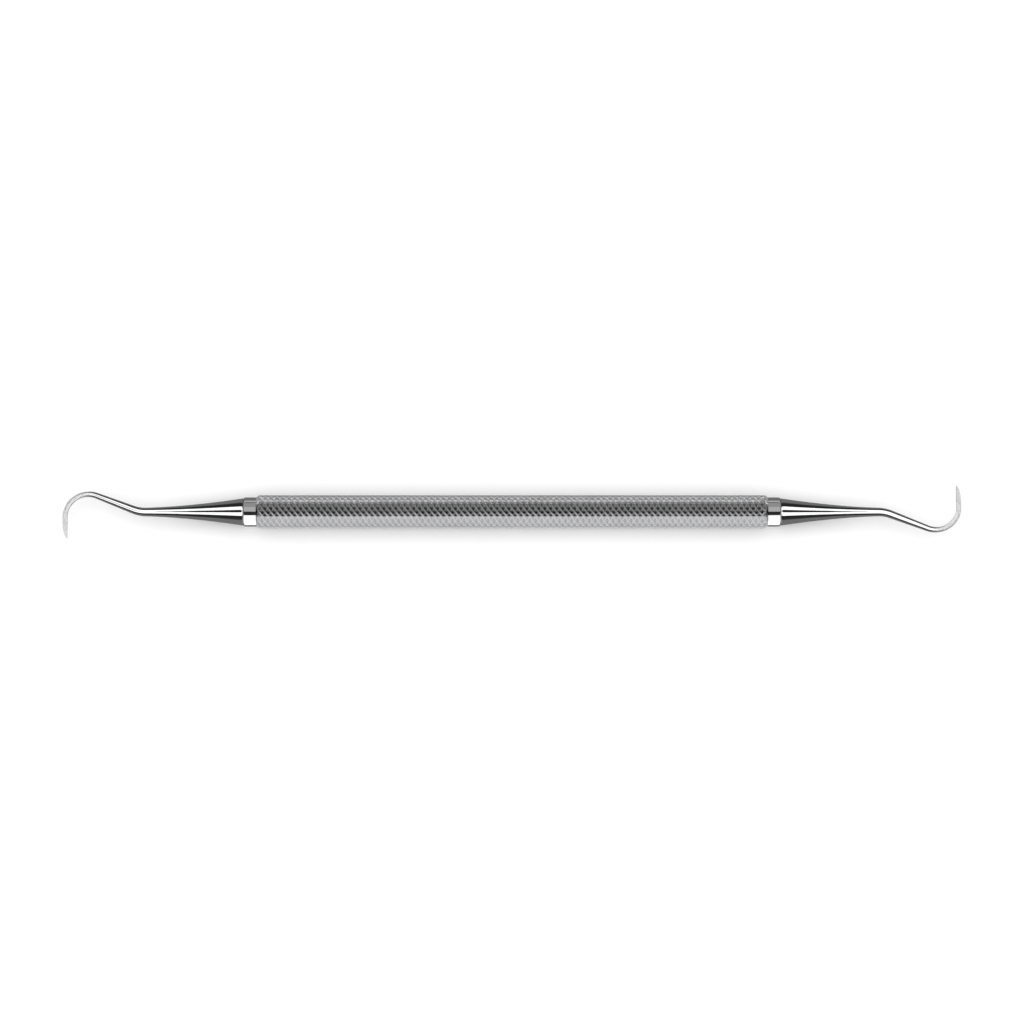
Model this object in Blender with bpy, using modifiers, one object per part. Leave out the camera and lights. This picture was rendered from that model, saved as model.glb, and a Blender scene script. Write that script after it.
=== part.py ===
"""Double-ended hand scaler: a hollow octagonal handle with a sickle working end screwed into each end.

It lies on one flat of its handle. +X runs along the handle and +Z is up. The hooks lie level, the
right one pointing to +Y and the left one to -Y. The origin is on the surface, under the middle.
"""

import math

import bmesh
import bpy
from mathutils import Matrix, Vector

MM = 0.001

# Handle tube
HANDLE_LENGTH = 99.0 * MM
ACROSS_FLATS = 6.35 * MM
HANDLE_BORE = 4.4 * MM
HANDLE_SIDES = 8
END_CHAMFER_DEPTH = 0.54 * MM  # taken off the corners
END_CHAMFER_LENGTH = 0.85 * MM

# End collars, pressed into the tube
COLLAR_DIAMETER = 5.66 * MM
COLLAR_LENGTH = 2.5 * MM
COLLAR_EDGE_RADIUS = 0.37 * MM
BOSS_WALL = 0.3 * MM
BOSS_HEIGHT = 0.45 * MM
BOSS_EDGE_RADIUS = 0.15 * MM
SPIGOT_LENGTH = 10.0 * MM
SPIGOT_CHAMFER = 0.3 * MM
SOCKET_END_ROOM = 0.8 * MM
SOCKET_DRILL_POINT = 0.7 * MM

# Thread between a working end and its collar
THREAD_DIAMETER = 3.0 * MM
STUD_LENGTH = 4.0 * MM
STUD_CHAMFER = 0.35 * MM

# Seal ring
SEAL_CORD = 0.5 * MM

# Working ends
CONE_BASE_DIAMETER = 5.3 * MM
CONE_LENGTH = 20.0 * MM
CONE_FLARE = 1.65
CONE_EDGE = 0.06 * MM
SHANK_DIAMETER = 1.65 * MM  # where the cone runs out
NECK_DIAMETER = 1.02 * MM  # where the shank meets the hook
BEND_START = 18.9 * MM
BEND_ANGLE = math.radians(21)
BEND_RADIUS = 7.0 * MM
SHANK_LENGTH = 7.55 * MM
HOOK_ANGLE = math.radians(112)
HOOK_RADIUS = 4.5 * MM
HOOK_ROUND_SHARE = 0.25  # of the hook's arc, before it turns triangular
BLADE_LENGTH = 4.15 * MM
BLADE_FACE_HALF_WIDTH = 0.42 * MM
BLADE_BACK_DEPTH = 0.58 * MM
BLADE_BACK_ROUNDING = 0.92  # share of the back depth that is left once the back is rounded off
BLADE_FULLNESS = 3  # how far along the blade its back stays full
BLADE_ROUNDING = 0.7  # how bluntly its back comes down to the point
BLADE_TIP_SHARE = 0.06

# Clearances
SEAT_GAP = 0.02 * MM  # between faces that seat on each other
PRESS_GAP = 0.02 * MM  # round a pressed spigot
RUNNING_GAP = 0.05 * MM  # round the stud, the seal and the boss
CUTTER_OVERRUN = 1.0 * MM

# Mesh resolution
TURNED_STEPS = 32
SECTION_POINTS = 24
CONE_RINGS = 10
BEND_RINGS = 5
HOOK_RINGS = 11
BLADE_RINGS = 7
EDGE_POINTS = 4
SEAL_CORD_POINTS = 8
MERGE_DISTANCE = 1e-6
CREASE_ANGLE = math.radians(35)

# Derived places
AXIS_HEIGHT = ACROSS_FLATS / 2
CORNER_RADIUS = AXIS_HEIGHT / math.cos(math.pi / HANDLE_SIDES)
COLLAR_FACE = HANDLE_LENGTH / 2 + SEAT_GAP + COLLAR_LENGTH  # from the middle of the handle
STUD_RADIUS = THREAD_DIAMETER / 2 - RUNNING_GAP
SOCKET_RADIUS = THREAD_DIAMETER / 2
BOSS_RADIUS = SOCKET_RADIUS + BOSS_WALL
SEAL_INNER_RADIUS = STUD_RADIUS + RUNNING_GAP
SEAL_OUTER_RADIUS = SEAL_INNER_RADIUS + SEAL_CORD
RECESS_RADIUS = max(SEAL_OUTER_RADIUS, BOSS_RADIUS) + RUNNING_GAP
RECESS_DEPTH = BOSS_HEIGHT + SEAL_CORD + SEAT_GAP

STEEL = (0.66, 0.66, 0.67, 1.0)
KNURLED_STEEL = (0.55, 0.55, 0.56, 1.0)
SEAL_GREY = (0.62, 0.62, 0.60, 1.0)


def clear_scene():
    for obj in list(bpy.data.objects):
        bpy.data.objects.remove(obj, do_unlink=True)


def new_collection(name):
    collection = bpy.data.collections.new(name)
    bpy.context.scene.collection.children.link(collection)
    return collection


def new_material(name, colour, roughness, metallic):
    material = bpy.data.materials.new(name)
    material.use_nodes = True
    shader = material.node_tree.nodes["Principled BSDF"]
    shader.inputs["Base Color"].default_value = colour
    shader.inputs["Roughness"].default_value = roughness
    shader.inputs["Metallic"].default_value = metallic
    return material


def new_empty(name, location, rotation, parent, collection):
    empty = bpy.data.objects.new(name, None)
    empty.empty_display_size = ACROSS_FLATS
    empty.location = location
    empty.rotation_euler = rotation
    empty.parent = parent
    collection.objects.link(empty)
    return empty


def new_object(name, mesh, parent, collection):
    obj = bpy.data.objects.new(name, mesh)
    obj.parent = parent
    collection.objects.link(obj)
    return obj


def make_cutter(obj):
    obj.hide_render = True
    obj.display_type = "WIRE"


def shade(mesh):
    mesh.shade_smooth()
    mesh.set_sharp_from_angle(angle=CREASE_ANGLE)


def corner_arc(radius_at, height_at, edge_radius, points):
    """Points round an outer corner, from its top face to its side; the corner would be at the given place."""
    for i in range(points + 1):
        angle = math.pi / 2 * (1 - i / points)
        yield (
            radius_at - edge_radius + edge_radius * math.cos(angle),
            height_at - edge_radius + edge_radius * math.sin(angle),
        )


def turned(name, profile, parent, collection):
    """A body turned about local Z from (radius, height) points that run from the top down its outer side."""
    mesh = bpy.data.meshes.new(name)
    edges = [(i, i + 1) for i in range(len(profile) - 1)]
    mesh.from_pydata([(radius, 0, height) for radius, height in profile], edges, [])
    obj = new_object(name, mesh, parent, collection)
    screw = obj.modifiers.new("Turn", "SCREW")
    screw.steps = TURNED_STEPS
    screw.render_steps = TURNED_STEPS
    screw.use_merge_vertices = True
    screw.merge_threshold = MERGE_DISTANCE
    return obj


def baked(obj):
    """Keeps the mesh that the object's modifiers make, shaded smooth with its corners sharp."""
    graph = bpy.context.evaluated_depsgraph_get()
    mesh = bpy.data.meshes.new_from_object(obj.evaluated_get(graph))
    mesh.name = obj.name
    obj.modifiers.clear()
    obj.data = mesh
    shade(mesh)
    return obj


def loft(name, rings, parent, collection):
    """A closed body through rings of equally many points, all listed the same way round."""
    shape = bmesh.new()
    loops = [[shape.verts.new(point) for point in ring] for ring in rings]
    for near, far in zip(loops, loops[1:]):
        for i, vertex in enumerate(near):
            following = (i + 1) % len(near)
            shape.faces.new((vertex, near[following], far[following], far[i]))
    shape.faces.new(loops[0])
    shape.faces.new(loops[-1])
    bmesh.ops.recalc_face_normals(shape, faces=shape.faces)
    mesh = bpy.data.meshes.new(name)
    shape.to_mesh(mesh)
    shape.free()
    shade(mesh)
    return new_object(name, mesh, parent, collection)


def add_boolean(obj, cutter, operation):
    modifier = obj.modifiers.new(cutter.name, "BOOLEAN")
    modifier.operation = operation
    modifier.object = cutter


def make_handle_tube(parent, parts, cutters):
    """An octagonal bar lying on a flat, turned down to a chamfer at both ends and bored through."""
    mesh = bpy.data.meshes.new("handle_tube")
    bar = bmesh.new()
    bmesh.ops.create_cone(
        bar,
        cap_ends=True,
        segments=HANDLE_SIDES,
        radius1=CORNER_RADIUS,
        radius2=CORNER_RADIUS,
        depth=HANDLE_LENGTH,
        matrix=Matrix.Rotation(math.pi / HANDLE_SIDES, 4, "Z"),
    )
    bar.to_mesh(mesh)
    bar.free()
    tube = new_object("handle_tube", mesh, parent, parts)

    end = HANDLE_LENGTH / 2
    beyond = end + CUTTER_OVERRUN
    chamfered = CORNER_RADIUS - END_CHAMFER_DEPTH
    clear = CORNER_RADIUS + CUTTER_OVERRUN
    envelope = turned(
        "turning_envelope",
        [
            (0, beyond),
            (chamfered, beyond),
            (chamfered, end),
            (CORNER_RADIUS, end - END_CHAMFER_LENGTH),
            (clear, end - END_CHAMFER_LENGTH),
            (clear, END_CHAMFER_LENGTH - end),
            (CORNER_RADIUS, END_CHAMFER_LENGTH - end),
            (chamfered, -end),
            (chamfered, -beyond),
            (0, -beyond),
        ],
        parent,
        cutters,
    )
    bore = turned(
        "bore_cutter",
        [(0, beyond), (HANDLE_BORE / 2, beyond), (HANDLE_BORE / 2, -beyond), (0, -beyond)],
        parent,
        cutters,
    )
    for obj in (tube, envelope, bore):
        obj.rotation_euler = (0, math.pi / 2, 0)
    make_cutter(envelope)
    make_cutter(bore)
    add_boolean(tube, envelope, "INTERSECT")
    add_boolean(tube, bore, "DIFFERENCE")
    return tube


def make_end_collar(name, end_frame, parts):
    """A smooth collar with a low boss on its face, a blind threaded socket and a spigot in the tube."""
    face = -SEAT_GAP
    shoulder = face - COLLAR_LENGTH
    boss_top = face + BOSS_HEIGHT
    socket_floor = -STUD_LENGTH - SOCKET_END_ROOM
    spigot_radius = HANDLE_BORE / 2 - PRESS_GAP
    spigot_end = shoulder - SPIGOT_LENGTH
    boss_edge = min(BOSS_EDGE_RADIUS, BOSS_WALL / 2)
    profile = [
        (0, socket_floor - SOCKET_DRILL_POINT),
        (SOCKET_RADIUS, socket_floor),
        (SOCKET_RADIUS, boss_top),
    ]
    profile += corner_arc(BOSS_RADIUS, boss_top, boss_edge, EDGE_POINTS)
    profile += [(BOSS_RADIUS, face)]
    profile += corner_arc(COLLAR_DIAMETER / 2, face, COLLAR_EDGE_RADIUS, EDGE_POINTS)
    profile += [
        (COLLAR_DIAMETER / 2, shoulder),
        (spigot_radius, shoulder),
        (spigot_radius, spigot_end + SPIGOT_CHAMFER),
        (spigot_radius - SPIGOT_CHAMFER, spigot_end),
        (0, spigot_end),
    ]
    return baked(turned(name, profile, end_frame, parts))


def make_seal_ring(name, end_frame, parts):
    """An O-ring round the root of the stud, between the boss and the floor of the cone's recess."""
    centre_radius = (SEAL_INNER_RADIUS + SEAL_OUTER_RADIUS) / 2
    bpy.ops.mesh.primitive_torus_add(
        major_segments=TURNED_STEPS,
        minor_segments=SEAL_CORD_POINTS,
        major_radius=centre_radius,
        minor_radius=SEAL_CORD / 2,
    )
    ring = bpy.context.active_object
    ring.name = name
    ring.data.name = name
    for collection in list(ring.users_collection):
        collection.objects.unlink(ring)
    parts.objects.link(ring)
    ring.parent = end_frame
    ring.location = (0, 0, BOSS_HEIGHT + SEAL_CORD / 2)
    shade(ring.data)
    return ring


def section_angles():
    return [2 * math.pi * i / SECTION_POINTS for i in range(SECTION_POINTS)]


def cone_diameter(height):
    """The cone flares from the shank to its base like the bell of a horn."""
    share = max(0, 1 - height / CONE_LENGTH)
    return SHANK_DIAMETER + (CONE_BASE_DIAMETER - SHANK_DIAMETER) * share**CONE_FLARE


def blade_ray(angle, face_half_width, back_depth):
    """Distance from the middle of the blade's triangular section to its outline, along one direction.

    The flat face looks inwards at angle 0, its two cutting edges are at 45 degrees to either side,
    and the two flanks meet at the back, which is rounded off.
    """
    inward_share, across_share = math.cos(angle), abs(math.sin(angle))
    depth = face_half_width + back_depth
    flank_slope = depth * across_share - face_half_width * inward_share
    reach = []
    if inward_share > 0:
        reach.append(face_half_width / inward_share)
    if inward_share < 0:
        reach.append(back_depth * BLADE_BACK_ROUNDING)
    if flank_slope > 0:
        reach.append(face_half_width * back_depth / flank_slope)
    return min(reach)


def direction(heading):
    """The way the path runs: heading 0 is along local Z, and 90 degrees is local Y."""
    return Vector((0, math.sin(heading), math.cos(heading)))


def inward(heading):
    """Square to the path, on the hook's hollow side."""
    return Vector((0, math.cos(heading), -math.sin(heading)))


def section(middle, heading, rays):
    """Points round the path at one place, at the given distances from its middle."""
    across = Vector((1, 0, 0))
    return [
        middle + (inward(heading) * math.cos(angle) + across * math.sin(angle)) * ray
        for angle, ray in zip(section_angles(), rays)
    ]


def circle(middle, heading, diameter):
    return section(middle, heading, [diameter / 2] * SECTION_POINTS)


def arc_step(start, heading, turn, radius):
    """The place reached from start by turning through an angle at a radius; a positive turn is to +Y."""
    side = math.copysign(radius, turn)
    return start + inward(heading) * side - inward(heading + turn) * side


def bend_start():
    return Vector((0, 0, BEND_START))


def hook_start():
    bend_end = arc_step(bend_start(), 0, -BEND_ANGLE, BEND_RADIUS)
    return bend_end + direction(-BEND_ANGLE) * SHANK_LENGTH


def blade_start():
    return arc_step(hook_start(), -BEND_ANGLE, HOOK_ANGLE, HOOK_RADIUS)


def stud_and_cone_rings():
    """From the end of the stud, round the seal's recess and up the cone to where the shank bends."""
    turned_outline = [
        (-STUD_LENGTH, STUD_RADIUS - STUD_CHAMFER),
        (-STUD_LENGTH + STUD_CHAMFER, STUD_RADIUS),
        (RECESS_DEPTH, STUD_RADIUS),
        (RECESS_DEPTH, RECESS_RADIUS),
        (0, RECESS_RADIUS),
        (0, CONE_BASE_DIAMETER / 2 - CONE_EDGE),
    ]
    for i in range(CONE_RINGS + 1):
        height = CONE_EDGE + (BEND_START - CONE_EDGE) * i / CONE_RINGS
        turned_outline.append((height, cone_diameter(height) / 2))
    return [circle(Vector((0, 0, height)), 0, 2 * radius) for height, radius in turned_outline]


def shank_diameter(travelled):
    """The shank thins evenly from the bend until it is round the first part of the hook."""
    thinning_length = BEND_RADIUS * BEND_ANGLE + SHANK_LENGTH + HOOK_RADIUS * HOOK_ANGLE * HOOK_ROUND_SHARE
    start_diameter = cone_diameter(BEND_START)
    return start_diameter + (NECK_DIAMETER - start_diameter) * min(1, travelled / thinning_length)


def bend_rings():
    rings = []
    for i in range(1, BEND_RINGS + 1):
        turn = BEND_ANGLE * i / BEND_RINGS
        middle = arc_step(bend_start(), 0, -turn, BEND_RADIUS)
        rings.append(circle(middle, -turn, shank_diameter(turn * BEND_RADIUS)))
    return rings


def hook_rings():
    """Round the hook, turning from round to triangular on the way."""
    rings = []
    for i in range(HOOK_RINGS + 1):
        share = i / HOOK_RINGS
        turn = HOOK_ANGLE * share
        travelled = BEND_RADIUS * BEND_ANGLE + SHANK_LENGTH + HOOK_RADIUS * turn
        round_ray = shank_diameter(travelled) / 2
        blade_share = max(0, (share - HOOK_ROUND_SHARE) / (1 - HOOK_ROUND_SHARE))
        rays = [
            round_ray + (blade_ray(angle, BLADE_FACE_HALF_WIDTH, BLADE_BACK_DEPTH) - round_ray) * blade_share
            for angle in section_angles()
        ]
        middle = arc_step(hook_start(), -BEND_ANGLE, turn, HOOK_RADIUS)
        rings.append(section(middle, turn - BEND_ANGLE, rays))
    return rings


def blade_rings():
    """The straight blade, whose flat face stays straight while its back comes down to the point."""
    heading = HOOK_ANGLE - BEND_ANGLE
    rings = []
    for i in range(1, BLADE_RINGS + 1):
        along = math.sin(math.pi / 2 * i / BLADE_RINGS)
        share = max(BLADE_TIP_SHARE, (1 - along**BLADE_FULLNESS) ** BLADE_ROUNDING)
        middle = blade_start() + direction(heading) * BLADE_LENGTH * along
        middle += inward(heading) * BLADE_FACE_HALF_WIDTH * (1 - share)
        rays = [
            blade_ray(angle, BLADE_FACE_HALF_WIDTH * share, BLADE_BACK_DEPTH * share)
            for angle in section_angles()
        ]
        rings.append(section(middle, heading, rays))
    return rings


def make_working_end(name, end_frame, parts):
    """Stud, cone, bent shank and sickle blade, one forging along one path."""
    rings = stud_and_cone_rings() + bend_rings() + hook_rings() + blade_rings()
    return loft(name, rings, end_frame, parts)


def main():
    clear_scene()
    parts = new_collection("hand_scaler")
    cutters = new_collection("cutters")
    polished = new_material("polished_steel", STEEL, 0.12, 1.0)
    knurled = new_material("knurled_steel", KNURLED_STEEL, 0.25, 1.0)
    rubber = new_material("seal_rubber", SEAL_GREY, 0.6, 0.0)

    handle_frame = new_empty("handle_frame", (0, 0, AXIS_HEIGHT), (0, 0, 0), None, parts)
    tube = make_handle_tube(handle_frame, parts, cutters)
    tube.data.materials.append(knurled)

    for side, half_turn in (("right", 0), ("left", math.pi)):
        outwards = math.cos(half_turn)
        end_frame = new_empty(
            f"{side}_end_frame",
            (outwards * (COLLAR_FACE + SEAT_GAP), 0, 0),
            (0, math.pi / 2, half_turn),
            handle_frame,
            parts,
        )
        make_end_collar(f"{side}_end_collar", end_frame, parts).data.materials.append(polished)
        make_seal_ring(f"{side}_seal_ring", end_frame, parts).data.materials.append(rubber)
        make_working_end(f"{side}_working_end", end_frame, parts).data.materials.append(polished)


main()
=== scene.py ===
"""Looks of a double-ended hand scaler: a knurled octagonal handle with a polished sickle end each side.

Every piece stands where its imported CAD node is, at the same size. The handle is drawn along X, round
its own axis. The turned pieces and the working ends are drawn in their own end frame: local Z points
out of the handle, and local Y is the side that the hook's point is on.
"""

import math

import bmesh
import bpy
from mathutils import Matrix, Vector


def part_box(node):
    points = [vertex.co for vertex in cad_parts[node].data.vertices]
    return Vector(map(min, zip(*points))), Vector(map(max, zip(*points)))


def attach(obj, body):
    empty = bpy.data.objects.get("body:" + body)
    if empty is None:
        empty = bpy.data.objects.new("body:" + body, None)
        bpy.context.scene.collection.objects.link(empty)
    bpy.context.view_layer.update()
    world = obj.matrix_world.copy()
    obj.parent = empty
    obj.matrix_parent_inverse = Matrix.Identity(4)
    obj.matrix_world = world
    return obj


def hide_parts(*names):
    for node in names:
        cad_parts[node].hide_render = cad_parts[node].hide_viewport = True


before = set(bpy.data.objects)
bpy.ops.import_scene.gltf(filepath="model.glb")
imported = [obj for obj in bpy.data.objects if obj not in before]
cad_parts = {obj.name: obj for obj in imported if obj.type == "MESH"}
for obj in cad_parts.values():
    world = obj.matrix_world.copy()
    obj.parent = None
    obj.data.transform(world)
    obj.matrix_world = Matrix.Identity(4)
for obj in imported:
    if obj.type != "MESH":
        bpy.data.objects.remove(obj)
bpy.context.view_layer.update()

MM = 0.001
MICRON = 0.000001

# Handle, from the frame
TUBE_LOW, TUBE_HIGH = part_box("handle_tube")
HALF_LENGTH = TUBE_HIGH.x
AXIS_HEIGHT = (TUBE_LOW.z + TUBE_HIGH.z) / 2
APOTHEM = (TUBE_HIGH.z - TUBE_LOW.z) / 2
SIDES = 8
HALF_CORNER = math.pi / SIDES
SIDE_WIDTH = 2 * APOTHEM * math.tan(HALF_CORNER)
ROUND_THE_HANDLE = SIDES * SIDE_WIDTH
CORNER_RADIUS = APOTHEM / math.cos(HALF_CORNER)
HANDLE_BORE = 4.4 * MM
END_CHAMFER_DEPTH = 0.54 * MM
END_CHAMFER_LENGTH = 0.85 * MM
CHAMFER_CUTS = 8
EDGE_RADIUS = 0.6 * MM  # along the eight edges
FLAT_CROWN = 0.05 * MM  # how far each flat falls away to its edges

# Knurl: two crossing families of grooves that leave flat diamonds
DIAMONDS_ROUND = 11
DIAMOND_LENGTH = 1.15 * MM
DIAMOND_WIDTH = ROUND_THE_HANDLE / DIAMONDS_ROUND
GROOVE_SPACING = DIAMOND_LENGTH * DIAMOND_WIDTH / math.hypot(DIAMOND_LENGTH, DIAMOND_WIDTH)
GROOVE_WIDTH = 0.3 * MM
GROOVE_DEPTH = 0.08 * MM
WEAK_GROOVE_SHARE = 0.42  # depth of the second family at the left end, where the rolls pressed unevenly
EVEN_GROOVE_SHARE = 0.93  # and at the right end
GROOVE_GROWTH = 1.5  # how late along the handle it grows from the one to the other
LAND_BREAK_WIDTH = 0.035 * MM
LAND_BREAK_DEPTH = 0.012 * MM

# End frames, from the frame
BOSS_HEIGHT = 0.45 * MM
SEAT_GAP = 0.02 * MM  # between the collar's face and the cone's base
COLLAR_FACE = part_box("right_end_collar")[1].x - BOSS_HEIGHT
END_PLANE = COLLAR_FACE + SEAT_GAP

# Collars
COLLAR_DIAMETER = 5.66 * MM
COLLAR_LENGTH = 2.5 * MM
COLLAR_EDGE_RADIUS = 0.37 * MM
BOSS_RADIUS = 1.8 * MM
BOSS_EDGE_RADIUS = 0.15 * MM
PRESS_GAP = 0.02 * MM  # round the spigot
SPIGOT_RADIUS = HANDLE_BORE / 2 - PRESS_GAP
SPIGOT_LENGTH = 10.0 * MM
SPIGOT_CHAMFER = 0.3 * MM
SOCKET_RADIUS = 1.5 * MM
SOCKET_FLOOR = -4.8 * MM
SOCKET_DRILL_POINT = 0.7 * MM
DRILL_POINT_RADIUS = 0.02 * MM
SOCKET_MOUTH = 0.12 * MM  # countersink of the socket's mouth

# Thread
THREAD_PITCH = 0.5 * MM
THREAD_DEPTH = 0.24 * MM
SOCKET_THREAD_DEPTH = 0.12 * MM
STUD_RADIUS = 1.45 * MM
STUD_LENGTH = 4.0 * MM
STUD_CHAMFER = 0.35 * MM
THREAD_RUNOUT = 0.5 * MM
RINGS_A_PITCH = 12

# Seals
SEAL_CORD = 0.5 * MM
SEAL_RADIUS = 1.75 * MM
SEAL_HEIGHT = BOSS_HEIGHT + SEAL_CORD / 2
FLASH_HEIGHT = 0.012 * MM  # the moulding line round the ring
FLASH_SHARPNESS = 40

# Working ends
RECESS_RADIUS = 2.05 * MM
RECESS_DEPTH = 0.97 * MM
CONE_BASE_DIAMETER = 5.3 * MM
CONE_LENGTH = 20.0 * MM
CONE_FLARE = 1.65
CONE_EDGE = 0.1 * MM
SHANK_DIAMETER = 1.65 * MM
NECK_DIAMETER = 1.02 * MM
BEND_START = 18.9 * MM
BEND_ANGLE = math.radians(21)
BEND_RADIUS = 7.0 * MM
SHANK_LENGTH = 7.55 * MM
HOOK_ANGLE = math.radians(112)
HOOK_RADIUS = 4.5 * MM
HOOK_ROUND_SHARE = 0.25
BLADE_LENGTH = 4.15 * MM
BLADE_FACE_HALF_WIDTH = 0.42 * MM
BLADE_BACK_DEPTH = 0.58 * MM
BLADE_BACK_ROUNDING = 0.92  # share of the back's depth that is left once it is rounded off
BLADE_FULLNESS = 3  # how far along the blade its back stays full
BLADE_ROUNDING = 0.7  # how bluntly its back comes down to the point
BLADE_TIP_SHARE = 0.06
BACK_SOFTNESS = 9  # how tightly the flanks turn into the rounded back
HONED_FROM = 0.05  # share of the hook where the matte, honed finish starts
HONED_FULL = 0.34
HONED_METAL = 0.55  # how metallic the matte finish looks

# Mesh resolution
ROUND_POINTS = 64
SEAL_STEPS = 96
SEAL_POINTS = 24
ARC_POINTS = 6
CONE_RINGS = 46
BEND_RINGS = 14
SHANK_RINGS = 6
HOOK_RINGS = 44
BLADE_RINGS = 26
FLOOR_POINTS = 96
WELD = 1e-7
CREASE = math.radians(33)

# Colours, dark and light
KNURL_TONES = (0.2, 0.2, 0.205), (0.42, 0.42, 0.425)
POLISHED_TONES = (0.62, 0.62, 0.63), (0.72, 0.72, 0.725)
END_TONES = (0.42, 0.42, 0.425), (0.74, 0.74, 0.745)
RUBBER_TONES = (0.50, 0.50, 0.485), (0.70, 0.70, 0.68)
FLOOR_TONES = (0.90, 0.90, 0.90), (0.93, 0.93, 0.93)

# Camera
CAMERA_ELEVATION = math.radians(82)
CAMERA_LENS = 135
SENSOR_WIDTH = 36
PICTURE_WIDTH = 0.1985  # what the camera's view spans at the handle
NEAREST_SEEN = 0.01
FARTHEST_SEEN = 20

# Light panels: name, low and high angle in degrees from straight up, positive towards +Y, and luminance
LIGHT_DISTANCE = 0.6
HANDLE_PANEL_LENGTH = 2.4  # also the collars'
HANDLE_PANELS = (
    ("handle_front", -90, -17, 1.5),
    ("handle_front_under", -178, -91, 0.9),
    ("handle_back_high", 8, 42, 0.55),
    ("handle_back_low", 42, 76, 0.35),
    ("handle_back_strip", 83, 89, 3.2),
    ("handle_back_under", 91, 150, 0.6),
)
COLLAR_PANELS = (
    ("collar_front", -134, -34, 1.5),
    ("collar_back_high", -5, 32, 0.55),
    ("collar_back_low", 32, 70, 0.36),
    ("collar_back_strip", 75, 93, 0.45),
)
GAP_HALF_ANGLE = 12  # between the overhead two; its dark reflection fades out towards the shank
END_PANEL_LENGTH = 1.1
END_PANELS = (
    ("overhead_softbox_back", GAP_HALF_ANGLE, 42, 1.8),
    ("overhead_softbox_front", -42, -GAP_HALF_ANGLE, 1.8),
)
GAP_PANELS = ((0.36, 1.0), (0.42, 0.5), (0.46, 0.3))  # lengths and luminances, one over the other
GAP_PANEL_STEP = 0.005
SIDE_FILL_ANGLES = 38, 76
SIDE_FILL_LENGTH = 0.5
SIDE_FILL_LUMINANCE = 1.6
FLOOR_PANEL_HALF_ANGLE = 60
FLOOR_PANEL_LENGTH = 7.0
FLOOR_PANEL_LUMINANCE = 1.55
FLOOR_PANEL_DISTANCE = 2.0
FLOOR_RADIUS = 1.6

# World, as strengths
HORIZON_GLOW = 0.22  # also below the horizon
ZENITH_GLOW = 0.03
GLOW_HEIGHT = 0.22  # sine of the elevation where the glow has faded out
BACKDROP_GLOW = 0.8  # added where the camera looks straight at it

# Node sockets of a colour mix
MIX_FACTOR, MIX_A, MIX_B, MIX_RESULT = 0, 6, 7, 2


# ---------------------------------------------------------------- materials


def node(tree, kind, inputs=None, **settings):
    """A node with its settings; an input is a value or another node's output."""
    made = tree.nodes.new(kind)
    for name, value in settings.items():
        setattr(made, name, value)
    for name, value in (inputs or {}).items():
        if isinstance(value, bpy.types.NodeSocket):
            tree.links.new(value, made.inputs[name])
        else:
            made.inputs[name].default_value = value
    return made


def grain(tree, scale, detail=2.0):
    """Noise from 0 to 1 whose features are 1/scale metres long, along each axis of the piece."""
    place = node(tree, "ShaderNodeTexCoord")
    stretched = node(
        tree, "ShaderNodeMapping", {"Vector": place.outputs["Object"], "Scale": scale}
    )
    noise = node(
        tree,
        "ShaderNodeTexNoise",
        {"Vector": stretched.outputs["Vector"], "Scale": 1.0, "Detail": detail},
    )
    return noise.outputs["Fac"]


def mask(tree, name):
    """A value that the piece's vertices carry."""
    return node(tree, "ShaderNodeAttribute", attribute_name=name).outputs["Fac"]


def stretch(tree, value, low, high, to_low, to_high):
    ranged = node(
        tree,
        "ShaderNodeMapRange",
        {"Value": value, "From Min": low, "From Max": high, "To Min": to_low, "To Max": to_high},
    )
    return ranged.outputs["Result"]


def total(tree, start, *terms):
    """start plus each (value, weight)."""
    so_far = start
    for value, weight in terms:
        added = node(tree, "ShaderNodeMath", operation="MULTIPLY_ADD")
        tree.links.new(value, added.inputs[0])
        for index, term in ((1, weight), (2, so_far)):
            if isinstance(term, bpy.types.NodeSocket):
                tree.links.new(term, added.inputs[index])
            else:
                added.inputs[index].default_value = term
        so_far = added.outputs["Value"]
    return so_far


def tinted(tree, value, dark, light):
    """A colour between dark, at 0, and light, at 1."""
    mix = node(tree, "ShaderNodeMix", data_type="RGBA")
    tree.links.new(value, mix.inputs[MIX_FACTOR])
    mix.inputs[MIX_A].default_value = (*dark, 1)
    mix.inputs[MIX_B].default_value = (*light, 1)
    return mix.outputs[MIX_RESULT]


def bumped(tree, *layers):
    """A normal from (height, depth in metres) layers, one over the other."""
    normal = None
    for height, depth in layers:
        inputs = {"Height": height, "Distance": depth, "Strength": 1.0}
        if normal is not None:
            inputs["Normal"] = normal
        normal = node(tree, "ShaderNodeBump", inputs).outputs["Normal"]
    return normal


def new_material(name, metallic):
    material = bpy.data.materials.new(name)
    material.use_nodes = True
    shader = material.node_tree.nodes["Principled BSDF"]
    shader.inputs["Metallic"].default_value = metallic
    return material, material.node_tree, shader


def finish_surface(tree, shader, colour, roughness, normal):
    tree.links.new(colour, shader.inputs["Base Color"])
    tree.links.new(roughness, shader.inputs["Roughness"])
    tree.links.new(normal, shader.inputs["Normal"])


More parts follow.
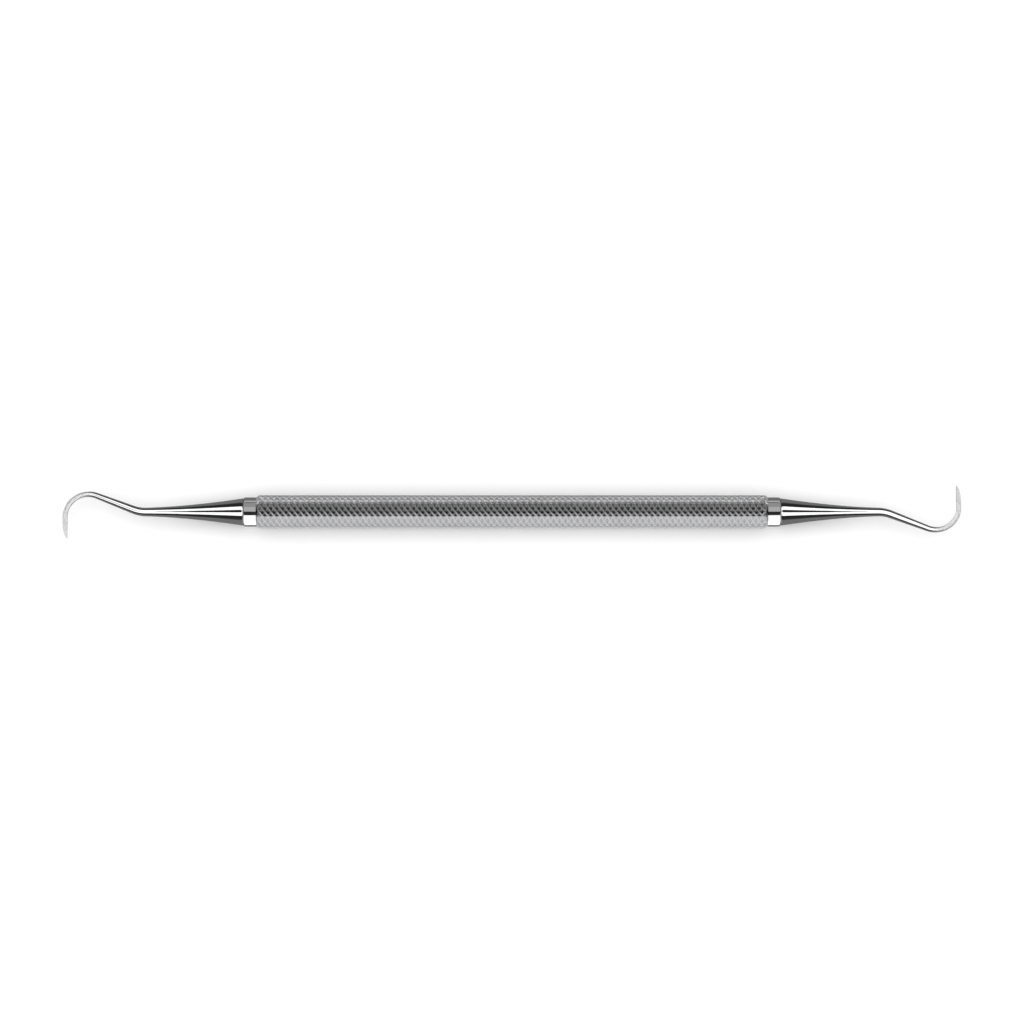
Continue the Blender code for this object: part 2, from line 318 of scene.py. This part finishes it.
def knurled_steel():
    """Drawn bar stock: fine lines along it, duller in the grooves and a little glossier at the rims; its
    colour is lighter on the groove walls and much lighter at the rims, as painted highlights.
    """
    material, tree, shader = new_material("knurled_steel", 1.0)
    drawn = grain(tree, (500, 14000, 14000), 3)
    speckle = grain(tree, (9000, 9000, 9000), 2)
    cloud = grain(tree, (260, 420, 420), 3)
    groove = mask(tree, "groove")
    rim = mask(tree, "rim")
    marks = total(tree, -0.12, (speckle, 0.35), (cloud, 0.5), (drawn, 0.25))
    # painted highlights: the colour is lighter on the groove walls and much lighter at the land's broken
    # rims
    tone = total(tree, marks, (groove, 0.15), (rim, 0.7))
    colour = tinted(tree, tone, *KNURL_TONES)
    roughness = total(tree, 0.08, (speckle, 0.1), (cloud, 0.08), (groove, 0.06), (rim, -0.04))
    normal = bumped(tree, (drawn, 1.2 * MICRON), (speckle, 4.5 * MICRON))
    finish_surface(tree, shader, colour, roughness, normal)
    return material


def polished_steel():
    """Mirror-polished steel with faint turning rings and hairline marks."""
    material, tree, shader = new_material("polished_steel", 1.0)
    rings = grain(tree, (250, 250, 16000), 2)
    hairlines = grain(tree, (9000, 9000, 350), 3)
    cloud = grain(tree, (500, 500, 300), 2)
    tone = total(tree, 0.0, (cloud, 0.6), (rings, 0.4))
    colour = tinted(tree, tone, *POLISHED_TONES)
    roughness = total(tree, 0.02, (cloud, 0.05), (hairlines, 0.03), (rings, 0.03))
    normal = bumped(tree, (rings, 0.2 * MICRON), (hairlines, 0.2 * MICRON), (cloud, 3 * MICRON))
    finish_surface(tree, shader, colour, roughness, normal)
    return material


def end_steel():
    """Polished shank and cone that turn into the pale, matte, honed steel of the hook and blade."""
    material, tree, shader = new_material("working_end_steel", 1.0)
    fine = grain(tree, (7000, 7000, 7000), 2)
    cloud = grain(tree, (500, 500, 300), 2)
    mottle = grain(tree, (2600, 2600, 2600), 4)
    pits = grain(tree, (11000, 11000, 11000), 1)
    honed = mask(tree, "honed")
    polished_tone = total(tree, 0.45, (cloud, 0.4), (fine, 0.15))
    honed_tone = total(tree, -0.75, (mottle, 2.3), (pits, 0.5))
    change = total(tree, honed_tone, (polished_tone, -1.0))
    tone = total(tree, polished_tone, (honed, change))
    colour = tinted(tree, tone, *END_TONES)
    bright_roughness = total(tree, 0.02, (cloud, 0.05), (fine, 0.03))
    matte_roughness = total(tree, 0.40, (mottle, 0.3))
    change = total(tree, matte_roughness, (bright_roughness, -1.0))
    roughness = total(tree, bright_roughness, (honed, change))
    texture = total(tree, 0.0, (mottle, 0.7), (pits, 0.3))
    honed_height = total(tree, 0.0, (texture, honed))
    normal = bumped(tree, (fine, 0.1 * MICRON), (cloud, 3 * MICRON), (honed_height, 22 * MICRON))
    finish_surface(tree, shader, colour, roughness, normal)
    metal = total(tree, 1.0, (honed, HONED_METAL - 1.0))
    tree.links.new(metal, shader.inputs["Metallic"])
    return material


def seal_rubber():
    """Moulded grey rubber with a dusty bloom."""
    material, tree, shader = new_material("seal_rubber", 0.0)
    bloom = grain(tree, (1500, 1500, 1500), 3)
    fine = grain(tree, (15000, 15000, 15000), 2)
    tone = total(tree, 0.0, (bloom, 0.7), (fine, 0.3))
    colour = tinted(tree, tone, *RUBBER_TONES)
    roughness = total(tree, 0.45, (bloom, 0.25), (fine, 0.1))
    normal = bumped(tree, (fine, 6 * MICRON))
    finish_surface(tree, shader, colour, roughness, normal)
    return material


def pale_floor():
    """Matt white board with a faint tooth."""
    material, tree, shader = new_material("pale_floor", 0.0)
    cloud = grain(tree, (9, 9, 9), 3)
    tooth = grain(tree, (1500, 1500, 1500), 2)
    colour = tinted(tree, cloud, *FLOOR_TONES)
    roughness = total(tree, 0.55, (tooth, 0.2))
    normal = bumped(tree, (tooth, 10 * MICRON))
    finish_surface(tree, shader, colour, roughness, normal)
    return material


# ---------------------------------------------------------------- mesh helpers


def new_piece(name, mesh, material, place=Matrix.Identity(4)):
    mesh.materials.append(material)
    piece = bpy.data.objects.new(name, mesh)
    bpy.context.scene.collection.objects.link(piece)
    piece.matrix_world = place
    return piece


def shade(piece):
    """Smooth, with its corners sharp, and the large faces left flat."""
    piece.data.shade_smooth()
    piece.data.set_sharp_from_angle(angle=CREASE)
    weighted = piece.modifiers.new("Flat faces stay flat", "WEIGHTED_NORMAL")
    weighted.keep_sharp = True


def carry(mesh, name, values):
    """Stores a value from 0 to 1 at each vertex."""
    layer = mesh.attributes.new(name, "FLOAT", "POINT")
    layer.data.foreach_set("value", values)


def end_place(side):
    """The end frame: out of the handle's axis at the cone's base, turned half round on the left."""
    half_turn = 0 if side == "right" else math.pi
    outwards = math.cos(half_turn)
    return (
        Matrix.Translation((outwards * END_PLANE, 0, AXIS_HEIGHT))
        @ Matrix.Rotation(half_turn, 4, "Z")
        @ Matrix.Rotation(math.pi / 2, 4, "Y")
    )


def loft_mesh(name, rings):
    """A closed body through rings of equally many points, all listed the same way round."""
    shape = bmesh.new()
    loops = [[shape.verts.new(point) for point in ring] for ring in rings]
    for near, far in zip(loops, loops[1:]):
        for i, vertex in enumerate(near):
            following = (i + 1) % len(near)
            shape.faces.new((vertex, near[following], far[following], far[i]))
    shape.faces.new(loops[0])
    shape.faces.new(loops[-1])
    bmesh.ops.recalc_face_normals(shape, faces=shape.faces)
    mesh = bpy.data.meshes.new(name)
    shape.to_mesh(mesh)
    shape.free()
    return mesh


def turned_ring(height, radius_at):
    """Points round local Z; the radius may change with the angle."""
    ring = []
    for i in range(ROUND_POINTS):
        angle = 2 * math.pi * i / ROUND_POINTS
        radius = radius_at(angle)
        ring.append(Vector((radius * math.cos(angle), radius * math.sin(angle), height)))
    return ring


def plain_rings(outline):
    """Rings from (height, radius) points."""
    return [turned_ring(height, lambda angle, radius=radius: radius) for height, radius in outline]


def thread_rings(low, high, radius, depth):
    """A right-hand thread that runs out at both heights; a negative depth cuts it outwards."""
    count = round((high - low) / THREAD_PITCH * RINGS_A_PITCH)
    rings = []
    for j in range(1, count):
        height = low + (high - low) * j / count
        fade = min(1, (height - low) / THREAD_RUNOUT, (high - height) / THREAD_RUNOUT)

        def radius_at(angle, height=height, fade=fade):
            phase = 2 * math.pi * height / THREAD_PITCH - angle
            return radius - depth * fade * (0.5 + 0.5 * math.cos(phase))

        rings.append(turned_ring(height, radius_at))
    return rings


def corner_arc(radius_at, height_at, edge_radius):
    """(height, radius) points round an outer corner, from its top face to its side."""
    points = []
    for i in range(ARC_POINTS + 1):
        angle = math.pi / 2 * (1 - i / ARC_POINTS)
        points.append(
            (
                height_at - edge_radius + edge_radius * math.sin(angle),
                radius_at - edge_radius + edge_radius * math.cos(angle),
            )
        )
    return points


# ---------------------------------------------------------------- handle


def second_groove_share(x):
    """How deep the second family of grooves is at x, as a share of the first family's depth."""
    along = (x + HALF_LENGTH) / (2 * HALF_LENGTH)
    growth = min(1, max(0, along)) ** GROOVE_GROWTH
    return WEAK_GROOVE_SHARE + (EVEN_GROOVE_SHARE - WEAK_GROOVE_SHARE) * growth


def add_diamond(sheet, middle_x, middle_u):
    """One knurled diamond: a flat land with broken edges and the four groove walls round it.

    A place in it is (a, b), each from 0 to 1: the first family's grooves are at a = 0 and a = 1, and the
    second family's at b = 0 and b = 1.
    """

    def vertex(a, b, depth):
        x = middle_x + (a - b) * DIAMOND_LENGTH / 2
        u = middle_u + (a + b - 1) * DIAMOND_WIDTH / 2
        return sheet.verts.new((x, u, -depth))

    first_half = GROOVE_WIDTH / 2 / GROOVE_SPACING
    rim_break = LAND_BREAK_WIDTH / GROOVE_SPACING
    edges = []
    for b in (0, 1):
        share = second_groove_share(middle_x + (0.5 - b) * DIAMOND_LENGTH / 2)
        inwards = 1 - 2 * b
        run_in = first_half * (1 - share)
        rim = b + inwards * first_half * share
        land = rim + inwards * rim_break
        edges.append(
            {
                "crossing": [vertex(a, b, GROOVE_DEPTH) for a in (0, 1)],
                "bottom": [vertex(a, b, GROOVE_DEPTH * share) for a in (run_in, 1 - run_in)],
                "rim": [vertex(a, rim, LAND_BREAK_DEPTH) for a in (first_half, 1 - first_half)],
                "land": [
                    vertex(a, land, 0)
                    for a in (first_half + rim_break, 1 - first_half - rim_break)
                ],
            }
        )
    near, far = edges
    new_face = sheet.faces.new
    for edge in edges:
        new_face((*edge["bottom"], *reversed(edge["rim"])))
        new_face((*edge["rim"], *reversed(edge["land"])))
    for i in (0, 1):
        new_face(
            (
                near["crossing"][i],
                near["bottom"][i],
                near["rim"][i],
                far["rim"][i],
                far["bottom"][i],
                far["crossing"][i],
            )
        )
        new_face((near["rim"][i], far["rim"][i], far["land"][i], near["land"][i]))
    new_face((*near["land"], *reversed(far["land"])))


def knurl_sheet():
    """The knurl unrolled flat, a little too large: x along the handle, y round it and -z the depth."""
    sheet = bmesh.new()
    columns = math.ceil(HALF_LENGTH / (DIAMOND_LENGTH / 2)) + 1
    for row in range(-1, 2 * DIAMONDS_ROUND + 2):
        for column in range(-columns, columns + 1):
            if (row + column) % 2:
                add_diamond(sheet, column * DIAMOND_LENGTH / 2, row * DIAMOND_WIDTH / 2)
    bmesh.ops.remove_doubles(sheet, verts=sheet.verts, dist=WELD)
    bmesh.ops.recalc_face_normals(sheet, faces=sheet.faces)
    return sheet


def cut_sheet(sheet, point, normal, drop_beyond=False):
    """Cuts the sheet along a plane and may drop the side that its normal points to."""
    bmesh.ops.bisect_plane(
        sheet,
        geom=sheet.verts[:] + sheet.edges[:] + sheet.faces[:],
        dist=WELD,
        plane_co=point,
        plane_no=normal,
        clear_outer=drop_beyond,
    )


def trim_and_crease(sheet):
    """Trims the sheet to the handle, and cuts it where it bends at rounded edges and end chamfers."""
    cut_sheet(sheet, (0, 0, 0), (0, -1, 0), drop_beyond=True)
    cut_sheet(sheet, (0, ROUND_THE_HANDLE, 0), (0, 1, 0), drop_beyond=True)
    cut_sheet(sheet, (HALF_LENGTH, 0, 0), (1, 0, 0), drop_beyond=True)
    cut_sheet(sheet, (-HALF_LENGTH, 0, 0), (-1, 0, 0), drop_beyond=True)
    rounding = EDGE_RADIUS * math.tan(HALF_CORNER)
    for side in range(SIDES + 1):
        for offset in (-rounding, 0, rounding):
            cut_sheet(sheet, (0, side * SIDE_WIDTH + offset, 0), (0, 1, 0))
    for cut in range(1, CHAMFER_CUTS + 1):
        distance = END_CHAMFER_LENGTH * cut / CHAMFER_CUTS
        for outwards in (1, -1):
            cut_sheet(sheet, (outwards * (HALF_LENGTH - distance), 0, 0), (1, 0, 0))


def outline_point(u):
    """The place on the octagon's rounded outline, (across, up), after going u round it."""
    side = min(int(u / SIDE_WIDTH), SIDES - 1)
    along = u - (side + 0.5) * SIDE_WIDTH
    rounding = EDGE_RADIUS * math.tan(HALF_CORNER)
    past = abs(along) - (SIDE_WIDTH / 2 - rounding)
    crown = FLAT_CROWN * (along / (SIDE_WIDTH / 2)) ** 2
    height = APOTHEM - crown
    if past > 0:
        turn = HALF_CORNER * past / rounding
        side_place = SIDE_WIDTH / 2 - rounding + EDGE_RADIUS * math.sin(turn)
        along = math.copysign(side_place, along)
        height = APOTHEM - crown - EDGE_RADIUS + EDGE_RADIUS * math.cos(turn)
    angle = 2 * HALF_CORNER * side
    return Vector(
        (
            along * math.cos(angle) + height * math.sin(angle),
            height * math.cos(angle) - along * math.sin(angle),
        )
    )


def turned_limit(x):
    """The radius that the end chamfer leaves."""
    from_end = HALF_LENGTH - abs(x)
    return CORNER_RADIUS - END_CHAMFER_DEPTH * max(0, 1 - from_end / END_CHAMFER_LENGTH)


def folded(point):
    """The sheet's point, in place round the handle's axis."""
    x, u, height = point
    outline = outline_point(u)
    reach = min(outline.length + height, turned_limit(x))
    across, up = outline * (reach / outline.length)
    return Vector((x, across, up))


def ends_of(shape):
    """The open edges at the left and at the right end."""
    open_edges = [edge for edge in shape.edges if edge.is_boundary]
    left = [edge for edge in open_edges if edge.verts[0].co.x < 0]
    right = [edge for edge in open_edges if edge.verts[0].co.x > 0]
    return left, right


def close_end(shape, open_edges):
    """An end face from the outline in to the bore; returns the bore's edges."""
    made = bmesh.ops.extrude_edge_only(shape, edges=open_edges)["geom"]
    for vertex in [item for item in made if isinstance(item, bmesh.types.BMVert)]:
        across = Vector((0, vertex.co.y, vertex.co.z))
        vertex.co = Vector((vertex.co.x, 0, 0)) + across.normalized() * (HANDLE_BORE / 2)
    return [item for item in made if isinstance(item, bmesh.types.BMEdge) and item.is_boundary]


def make_handle(material):
    shape = knurl_sheet()
    trim_and_crease(shape)
    groove = shape.verts.layers.float.new("groove")
    rim = shape.verts.layers.float.new("rim")
    for vertex in shape.verts:
        depth = -vertex.co.z
        # groove (the depth) and rim (the land's broken edge) carry the knurl's painted highlights as
        # well as its roughness changes
        vertex[groove] = depth / GROOVE_DEPTH
        vertex[rim] = max(0, 1 - abs(depth - LAND_BREAK_DEPTH) / LAND_BREAK_DEPTH)
        vertex.co = folded(vertex.co)
    bmesh.ops.remove_doubles(shape, verts=shape.verts, dist=WELD)
    left, right = ends_of(shape)
    bore_edges = close_end(shape, left) + close_end(shape, right)
    bmesh.ops.bridge_loops(shape, edges=bore_edges)
    bmesh.ops.recalc_face_normals(shape, faces=shape.faces)
    mesh = bpy.data.meshes.new("knurled_handle")
    shape.to_mesh(mesh)
    shape.free()
    handle = new_piece("knurled_handle", mesh, material, Matrix.Translation((0, 0, AXIS_HEIGHT)))
    shade(handle)
    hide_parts("handle_tube")
    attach(handle, "handle")
    return handle


# ---------------------------------------------------------------- collars and seals


def make_collar(side, material):
    """Drilled and tapped socket, low boss, rounded collar, and the spigot pressed into the handle."""
    face = -SEAT_GAP
    shoulder = face - COLLAR_LENGTH
    boss_top = face + BOSS_HEIGHT
    spigot_end = shoulder - SPIGOT_LENGTH
    drill_point = SOCKET_FLOOR - SOCKET_DRILL_POINT
    rings = plain_rings([(drill_point, DRILL_POINT_RADIUS), (SOCKET_FLOOR, SOCKET_RADIUS)])
    rings += thread_rings(SOCKET_FLOOR, boss_top - SOCKET_MOUTH, SOCKET_RADIUS, -SOCKET_THREAD_DEPTH)
    outline = [(boss_top - SOCKET_MOUTH, SOCKET_RADIUS), (boss_top, SOCKET_RADIUS + SOCKET_MOUTH)]
    outline += corner_arc(BOSS_RADIUS, boss_top, BOSS_EDGE_RADIUS)
    outline += [(face, BOSS_RADIUS)]
    outline += corner_arc(COLLAR_DIAMETER / 2, face, COLLAR_EDGE_RADIUS)
    outline += [
        (shoulder, COLLAR_DIAMETER / 2),
        (shoulder, SPIGOT_RADIUS),
        (spigot_end + SPIGOT_CHAMFER, SPIGOT_RADIUS),
        (spigot_end, SPIGOT_RADIUS - SPIGOT_CHAMFER),
    ]
    rings += plain_rings(outline)
    mesh = loft_mesh(f"{side}_polished_collar", rings)
    collar = new_piece(f"{side}_polished_collar", mesh, material, end_place(side))
    shade(collar)
    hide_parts(f"{side}_end_collar")
    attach(collar, "handle")
    return collar


def make_seal(side, material):
    """An O-ring with the fine flash line that its mould leaves at the outside and the inside."""
    shape = bmesh.new()
    loops = []
    for i in range(SEAL_STEPS):
        angle = 2 * math.pi * i / SEAL_STEPS
        loop = []
        for j in range(SEAL_POINTS):
            round_cord = 2 * math.pi * j / SEAL_POINTS
            flash = abs(math.cos(round_cord)) ** FLASH_SHARPNESS
            cord = SEAL_CORD / 2 - FLASH_HEIGHT * (1 - flash)
            radius = SEAL_RADIUS + cord * math.cos(round_cord)
            height = SEAL_HEIGHT + cord * math.sin(round_cord)
            loop.append(
                shape.verts.new((radius * math.cos(angle), radius * math.sin(angle), height))
            )
        loops.append(loop)
    for near, far in zip(loops, loops[1:] + loops[:1]):
        for j in range(SEAL_POINTS):
            following = (j + 1) % SEAL_POINTS
            shape.faces.new((near[j], far[j], far[following], near[following]))
    bmesh.ops.recalc_face_normals(shape, faces=shape.faces)
    mesh = bpy.data.meshes.new(f"{side}_o_ring")
    shape.to_mesh(mesh)
    shape.free()
    seal = new_piece(f"{side}_o_ring", mesh, material, end_place(side))
    shade(seal)
    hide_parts(f"{side}_seal_ring")
    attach(seal, f"{side}_seal")
    return seal


# ---------------------------------------------------------------- working ends


def cone_radius(height):
    share = max(0, 1 - height / CONE_LENGTH)
    return (SHANK_DIAMETER + (CONE_BASE_DIAMETER - SHANK_DIAMETER) * share**CONE_FLARE) / 2


def blade_ray(angle, face_half_width, back_depth):
    """From the middle of the blade's triangular section out to its edge; the face is at angle 0."""
    inward_share, across_share = math.cos(angle), abs(math.sin(angle))
    flank_slope = (face_half_width + back_depth) * across_share - face_half_width * inward_share
    flank = face_half_width * back_depth / flank_slope if flank_slope > 0 else math.inf
    if inward_share > 0:
        return min(face_half_width / inward_share, flank)
    back = back_depth * BLADE_BACK_ROUNDING
    return (flank**-BACK_SOFTNESS + back**-BACK_SOFTNESS) ** (-1 / BACK_SOFTNESS)


def direction(heading):
    """The way the path runs: heading 0 is along local Z, and 90 degrees is local Y."""
    return Vector((0, math.sin(heading), math.cos(heading)))


def inward(heading):
    """Square to the path, on the hook's hollow side."""
    return Vector((0, math.cos(heading), -math.sin(heading)))


def section(middle, heading, ray_at):
    """Points round the path at one place; ray_at gives the distance from its middle at an angle."""
    across = Vector((1, 0, 0))
    ring = []
    for i in range(ROUND_POINTS):
        angle = 2 * math.pi * i / ROUND_POINTS
        way = inward(heading) * math.cos(angle) + across * math.sin(angle)
        ring.append(middle + way * ray_at(angle))
    return ring


def arc_step(start, heading, turn, radius):
    """The place reached from start by turning through an angle at a radius; a positive turn is to +Y."""
    side = math.copysign(radius, turn)
    return start + inward(heading) * side - inward(heading + turn) * side


BEND_PLACE = Vector((0, 0, BEND_START))
SHANK_PLACE = arc_step(BEND_PLACE, 0, -BEND_ANGLE, BEND_RADIUS)
HOOK_PLACE = SHANK_PLACE + direction(-BEND_ANGLE) * SHANK_LENGTH
BLADE_PLACE = arc_step(HOOK_PLACE, -BEND_ANGLE, HOOK_ANGLE, HOOK_RADIUS)
BLADE_HEADING = HOOK_ANGLE - BEND_ANGLE
BEND_TRAVEL = BEND_RADIUS * BEND_ANGLE
THINNING_LENGTH = BEND_TRAVEL + SHANK_LENGTH + HOOK_RADIUS * HOOK_ANGLE * HOOK_ROUND_SHARE


def shank_radius(travelled):
    """The shank thins evenly from the bend until it is round the first part of the hook."""
    start = cone_radius(BEND_START)
    return start + (NECK_DIAMETER / 2 - start) * min(1, travelled / THINNING_LENGTH)


def stud_rings():
    """The threaded stud, from its end to the floor of the seal's recess."""
    thread_start = STUD_CHAMFER - STUD_LENGTH
    rings = plain_rings([(-STUD_LENGTH, STUD_RADIUS - STUD_CHAMFER), (thread_start, STUD_RADIUS)])
    rings += thread_rings(thread_start, BOSS_HEIGHT, STUD_RADIUS, THREAD_DEPTH)
    rings += plain_rings([(BOSS_HEIGHT, STUD_RADIUS), (RECESS_DEPTH, STUD_RADIUS)])
    return rings


def cone_rings():
    """The recess, the rim of the cone's base and the cone, up to where the shank bends."""
    base = CONE_BASE_DIAMETER / 2
    outline = [(RECESS_DEPTH, RECESS_RADIUS), (0, RECESS_RADIUS)]
    for i in range(ARC_POINTS):
        angle = math.pi / 2 * i / ARC_POINTS
        height = CONE_EDGE * (1 - math.cos(angle))
        inset = CONE_EDGE * (1 - math.sin(angle))
        outline.append((height, base - inset))
    for i in range(CONE_RINGS + 1):
        height = CONE_EDGE + (BEND_START - CONE_EDGE) * i / CONE_RINGS
        outline.append((height, cone_radius(height)))
    return plain_rings(outline)


def cone_ring_as_section(ring):
    """Starts a turned ring at local Y, as the sections of the shank do."""
    quarter = ROUND_POINTS // 4
    return [ring[(quarter - i) % ROUND_POINTS] for i in range(ROUND_POINTS)]


def bend_and_shank_rings():
    rings = []
    for i in range(1, BEND_RINGS + 1):
        turn = BEND_ANGLE * i / BEND_RINGS
        middle = arc_step(BEND_PLACE, 0, -turn, BEND_RADIUS)
        radius = shank_radius(turn * BEND_RADIUS)
        rings.append(section(middle, -turn, lambda angle, radius=radius: radius))
    for i in range(1, SHANK_RINGS):
        along = SHANK_LENGTH * i / SHANK_RINGS
        middle = SHANK_PLACE + direction(-BEND_ANGLE) * along
        radius = shank_radius(BEND_TRAVEL + along)
        rings.append(section(middle, -BEND_ANGLE, lambda angle, radius=radius: radius))
    return rings


def hook_rings():
    """Round the hook, turning from round to triangular on the way."""
    rings = []
    for i in range(HOOK_RINGS + 1):
        share = i / HOOK_RINGS
        turn = HOOK_ANGLE * share
        round_ray = shank_radius(BEND_TRAVEL + SHANK_LENGTH + HOOK_RADIUS * turn)
        blade_share = max(0, (share - HOOK_ROUND_SHARE) / (1 - HOOK_ROUND_SHARE))

        def ray_at(angle, round_ray=round_ray, blade_share=blade_share):
            blade = blade_ray(angle, BLADE_FACE_HALF_WIDTH, BLADE_BACK_DEPTH)
            return round_ray + (blade - round_ray) * blade_share

        middle = arc_step(HOOK_PLACE, -BEND_ANGLE, turn, HOOK_RADIUS)
        rings.append(section(middle, turn - BEND_ANGLE, ray_at))
    return rings


def blade_rings():
    """The straight blade, whose flat face stays straight while its back comes down to the point."""
    rings = []
    for i in range(1, BLADE_RINGS + 1):
        along = math.sin(math.pi / 2 * i / BLADE_RINGS)
        share = max(BLADE_TIP_SHARE, (1 - along**BLADE_FULLNESS) ** BLADE_ROUNDING)
        middle = BLADE_PLACE + direction(BLADE_HEADING) * BLADE_LENGTH * along
        middle += inward(BLADE_HEADING) * BLADE_FACE_HALF_WIDTH * (1 - share)

        def ray_at(angle, share=share):
            return blade_ray(angle, BLADE_FACE_HALF_WIDTH * share, BLADE_BACK_DEPTH * share)

        rings.append(section(middle, BLADE_HEADING, ray_at))
    return rings


def honed_share(hook_share):
    """How far the finish has turned matt, from 0 to 1, at a share of the way round the hook."""
    return min(1, max(0, (hook_share - HONED_FROM) / (HONED_FULL - HONED_FROM)))


def make_working_end(side, material):
    """Stud, cone, bent shank and sickle blade in one piece, as it is forged and ground."""
    round_rings = [cone_ring_as_section(ring) for ring in stud_rings() + cone_rings()]
    round_rings += bend_and_shank_rings()
    hook = hook_rings()
    blade = blade_rings()
    mesh = loft_mesh(f"{side}_sickle_end", round_rings + hook + blade)
    honed = [0.0] * len(round_rings)
    honed += [honed_share(i / HOOK_RINGS) for i in range(len(hook))]
    honed += [1.0] * len(blade)
    carry(mesh, "honed", [value for value in honed for _ in range(ROUND_POINTS)])
    end = new_piece(f"{side}_sickle_end", mesh, material, end_place(side))
    shade(end)
    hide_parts(f"{side}_working_end")
    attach(end, f"{side}_end")
    return end


# ---------------------------------------------------------------- studio


def from_above(angle, distance):
    """A place round the handle's axis, at an angle from straight up that is positive towards +Y."""
    return Vector((0, math.sin(angle) * distance, AXIS_HEIGHT + math.cos(angle) * distance))


def lit_together(name, pieces):
    """A set of objects that a panel's light can be kept to."""
    together = bpy.data.collections.new(name)
    for piece in pieces:
        together.objects.link(piece)
    return together


def add_panel(name, low, high, length, luminance, receivers, azimuth=0, distance=LIGHT_DISTANCE):
    """A long soft panel that fills the view from the handle between two angles from straight up.

    At azimuth 0 it runs along X, and its angles are positive towards +Y. Azimuth turns it round the
    vertical, in degrees.
    """
    low, high = math.radians(low), math.radians(high)
    middle = (low + high) / 2
    width = 2 * distance * math.tan((high - low) / 2)
    light = bpy.data.lights.new(name, "AREA")
    light.shape = "RECTANGLE"
    light.size = length
    light.size_y = width
    light.energy = luminance * math.pi * length * width
    panel = bpy.data.objects.new(name, light)
    bpy.context.scene.collection.objects.link(panel)
    panel.matrix_world = (
        Matrix.Rotation(math.radians(azimuth), 4, "Z")
        @ Matrix.Translation(from_above(middle, distance))
        @ Matrix.Rotation(-middle, 4, "X")
    )
    panel.visible_camera = False
    panel.light_linking.receiver_collection = receivers


def make_lights(handle, collars, end_pieces, floor):
    """Plain white panels, one set each for the handle, the collars, the working ends and the floor."""
    lit_as_handle = lit_together("lit_as_handle", [handle])
    for name, low, high, luminance in HANDLE_PANELS:
        add_panel(name, low, high, HANDLE_PANEL_LENGTH, luminance, lit_as_handle)
    lit_as_collars = lit_together("lit_as_collars", collars)
    for name, low, high, luminance in COLLAR_PANELS:
        add_panel(name, low, high, HANDLE_PANEL_LENGTH, luminance, lit_as_collars)
    lit_as_ends = lit_together("lit_as_working_ends", end_pieces)
    for name, low, high, luminance in END_PANELS:
        add_panel(name, low, high, END_PANEL_LENGTH, luminance, lit_as_ends)
    add_gap_panels(lit_as_ends)
    for azimuth in (90, -90):
        add_panel(
            f"side_fill_{azimuth}",
            *SIDE_FILL_ANGLES,
            SIDE_FILL_LENGTH,
            SIDE_FILL_LUMINANCE,
            lit_as_ends,
            azimuth,
        )
    add_panel(
        "floor_softbox",
        -FLOOR_PANEL_HALF_ANGLE,
        FLOOR_PANEL_HALF_ANGLE,
        FLOOR_PANEL_LENGTH,
        FLOOR_PANEL_LUMINANCE,
        lit_together("lit_as_floor", [floor]),
        distance=FLOOR_PANEL_DISTANCE,
    )


def add_gap_panels(receivers):
    """Short panels between the overhead two, each longer, dimmer and a little higher than the last."""
    for step, (length, luminance) in enumerate(GAP_PANELS):
        add_panel(
            f"gap_panel_{step}",
            -GAP_HALF_ANGLE,
            GAP_HALF_ANGLE,
            length,
            luminance,
            receivers,
            distance=LIGHT_DISTANCE + (step + 1) * GAP_PANEL_STEP,
        )


def make_world():
    """A dark studio, lighter towards the horizon, and pale where the camera looks straight at it."""
    world = bpy.data.worlds.new("studio")
    bpy.context.scene.world = world
    world.use_nodes = True
    tree = world.node_tree
    sky = tree.nodes["Background"]
    way = node(tree, "ShaderNodeTexCoord")
    height = node(tree, "ShaderNodeSeparateXYZ", {"Vector": way.outputs["Generated"]})
    glow = stretch(tree, height.outputs["Z"], 0.0, GLOW_HEIGHT, HORIZON_GLOW, ZENITH_GLOW)
    seen = node(tree, "ShaderNodeLightPath")
    shown = total(tree, glow, (seen.outputs["Is Camera Ray"], BACKDROP_GLOW))
    sky.inputs["Color"].default_value = (1, 1, 1, 1)
    tree.links.new(shown, sky.inputs["Strength"])


def make_floor():
    """A round floor, kept out of reflections so that steel edges stay dark; panels shine through it."""
    shape = bmesh.new()
    bmesh.ops.create_circle(shape, cap_ends=True, segments=FLOOR_POINTS, radius=FLOOR_RADIUS)
    mesh = bpy.data.meshes.new("floor")
    shape.to_mesh(mesh)
    shape.free()
    floor = new_piece("floor", mesh, pale_floor())
    floor.visible_glossy = False
    floor.visible_shadow = False
    return floor


def make_camera():
    camera = bpy.data.cameras.new("camera")
    camera.lens = CAMERA_LENS
    camera.sensor_width = SENSOR_WIDTH
    viewer = bpy.data.objects.new("camera", camera)
    bpy.context.scene.collection.objects.link(viewer)
    distance = PICTURE_WIDTH * CAMERA_LENS / SENSOR_WIDTH
    tilt = math.pi / 2 - CAMERA_ELEVATION
    viewer.location = from_above(-tilt, distance)
    viewer.rotation_euler = (tilt, 0, 0)
    camera.clip_start = NEAREST_SEEN
    camera.clip_end = FARTHEST_SEEN
    bpy.context.scene.camera = viewer


def make_pieces():
    """Makes every piece; returns the handle, the collars, and the seals with the working ends."""
    polished = polished_steel()
    sickle = end_steel()
    rubber = seal_rubber()
    handle = make_handle(knurled_steel())
    collars = []
    end_pieces = []
    for side in ("right", "left"):
        collars.append(make_collar(side, polished))
        end_pieces.append(make_seal(side, rubber))
        end_pieces.append(make_working_end(side, sickle))
    return handle, collars, end_pieces


handle, collars, end_pieces = make_pieces()
make_lights(handle, collars, end_pieces, make_floor())
make_world()
make_camera()
bpy.context.scene.view_settings.view_transform = "Standard"
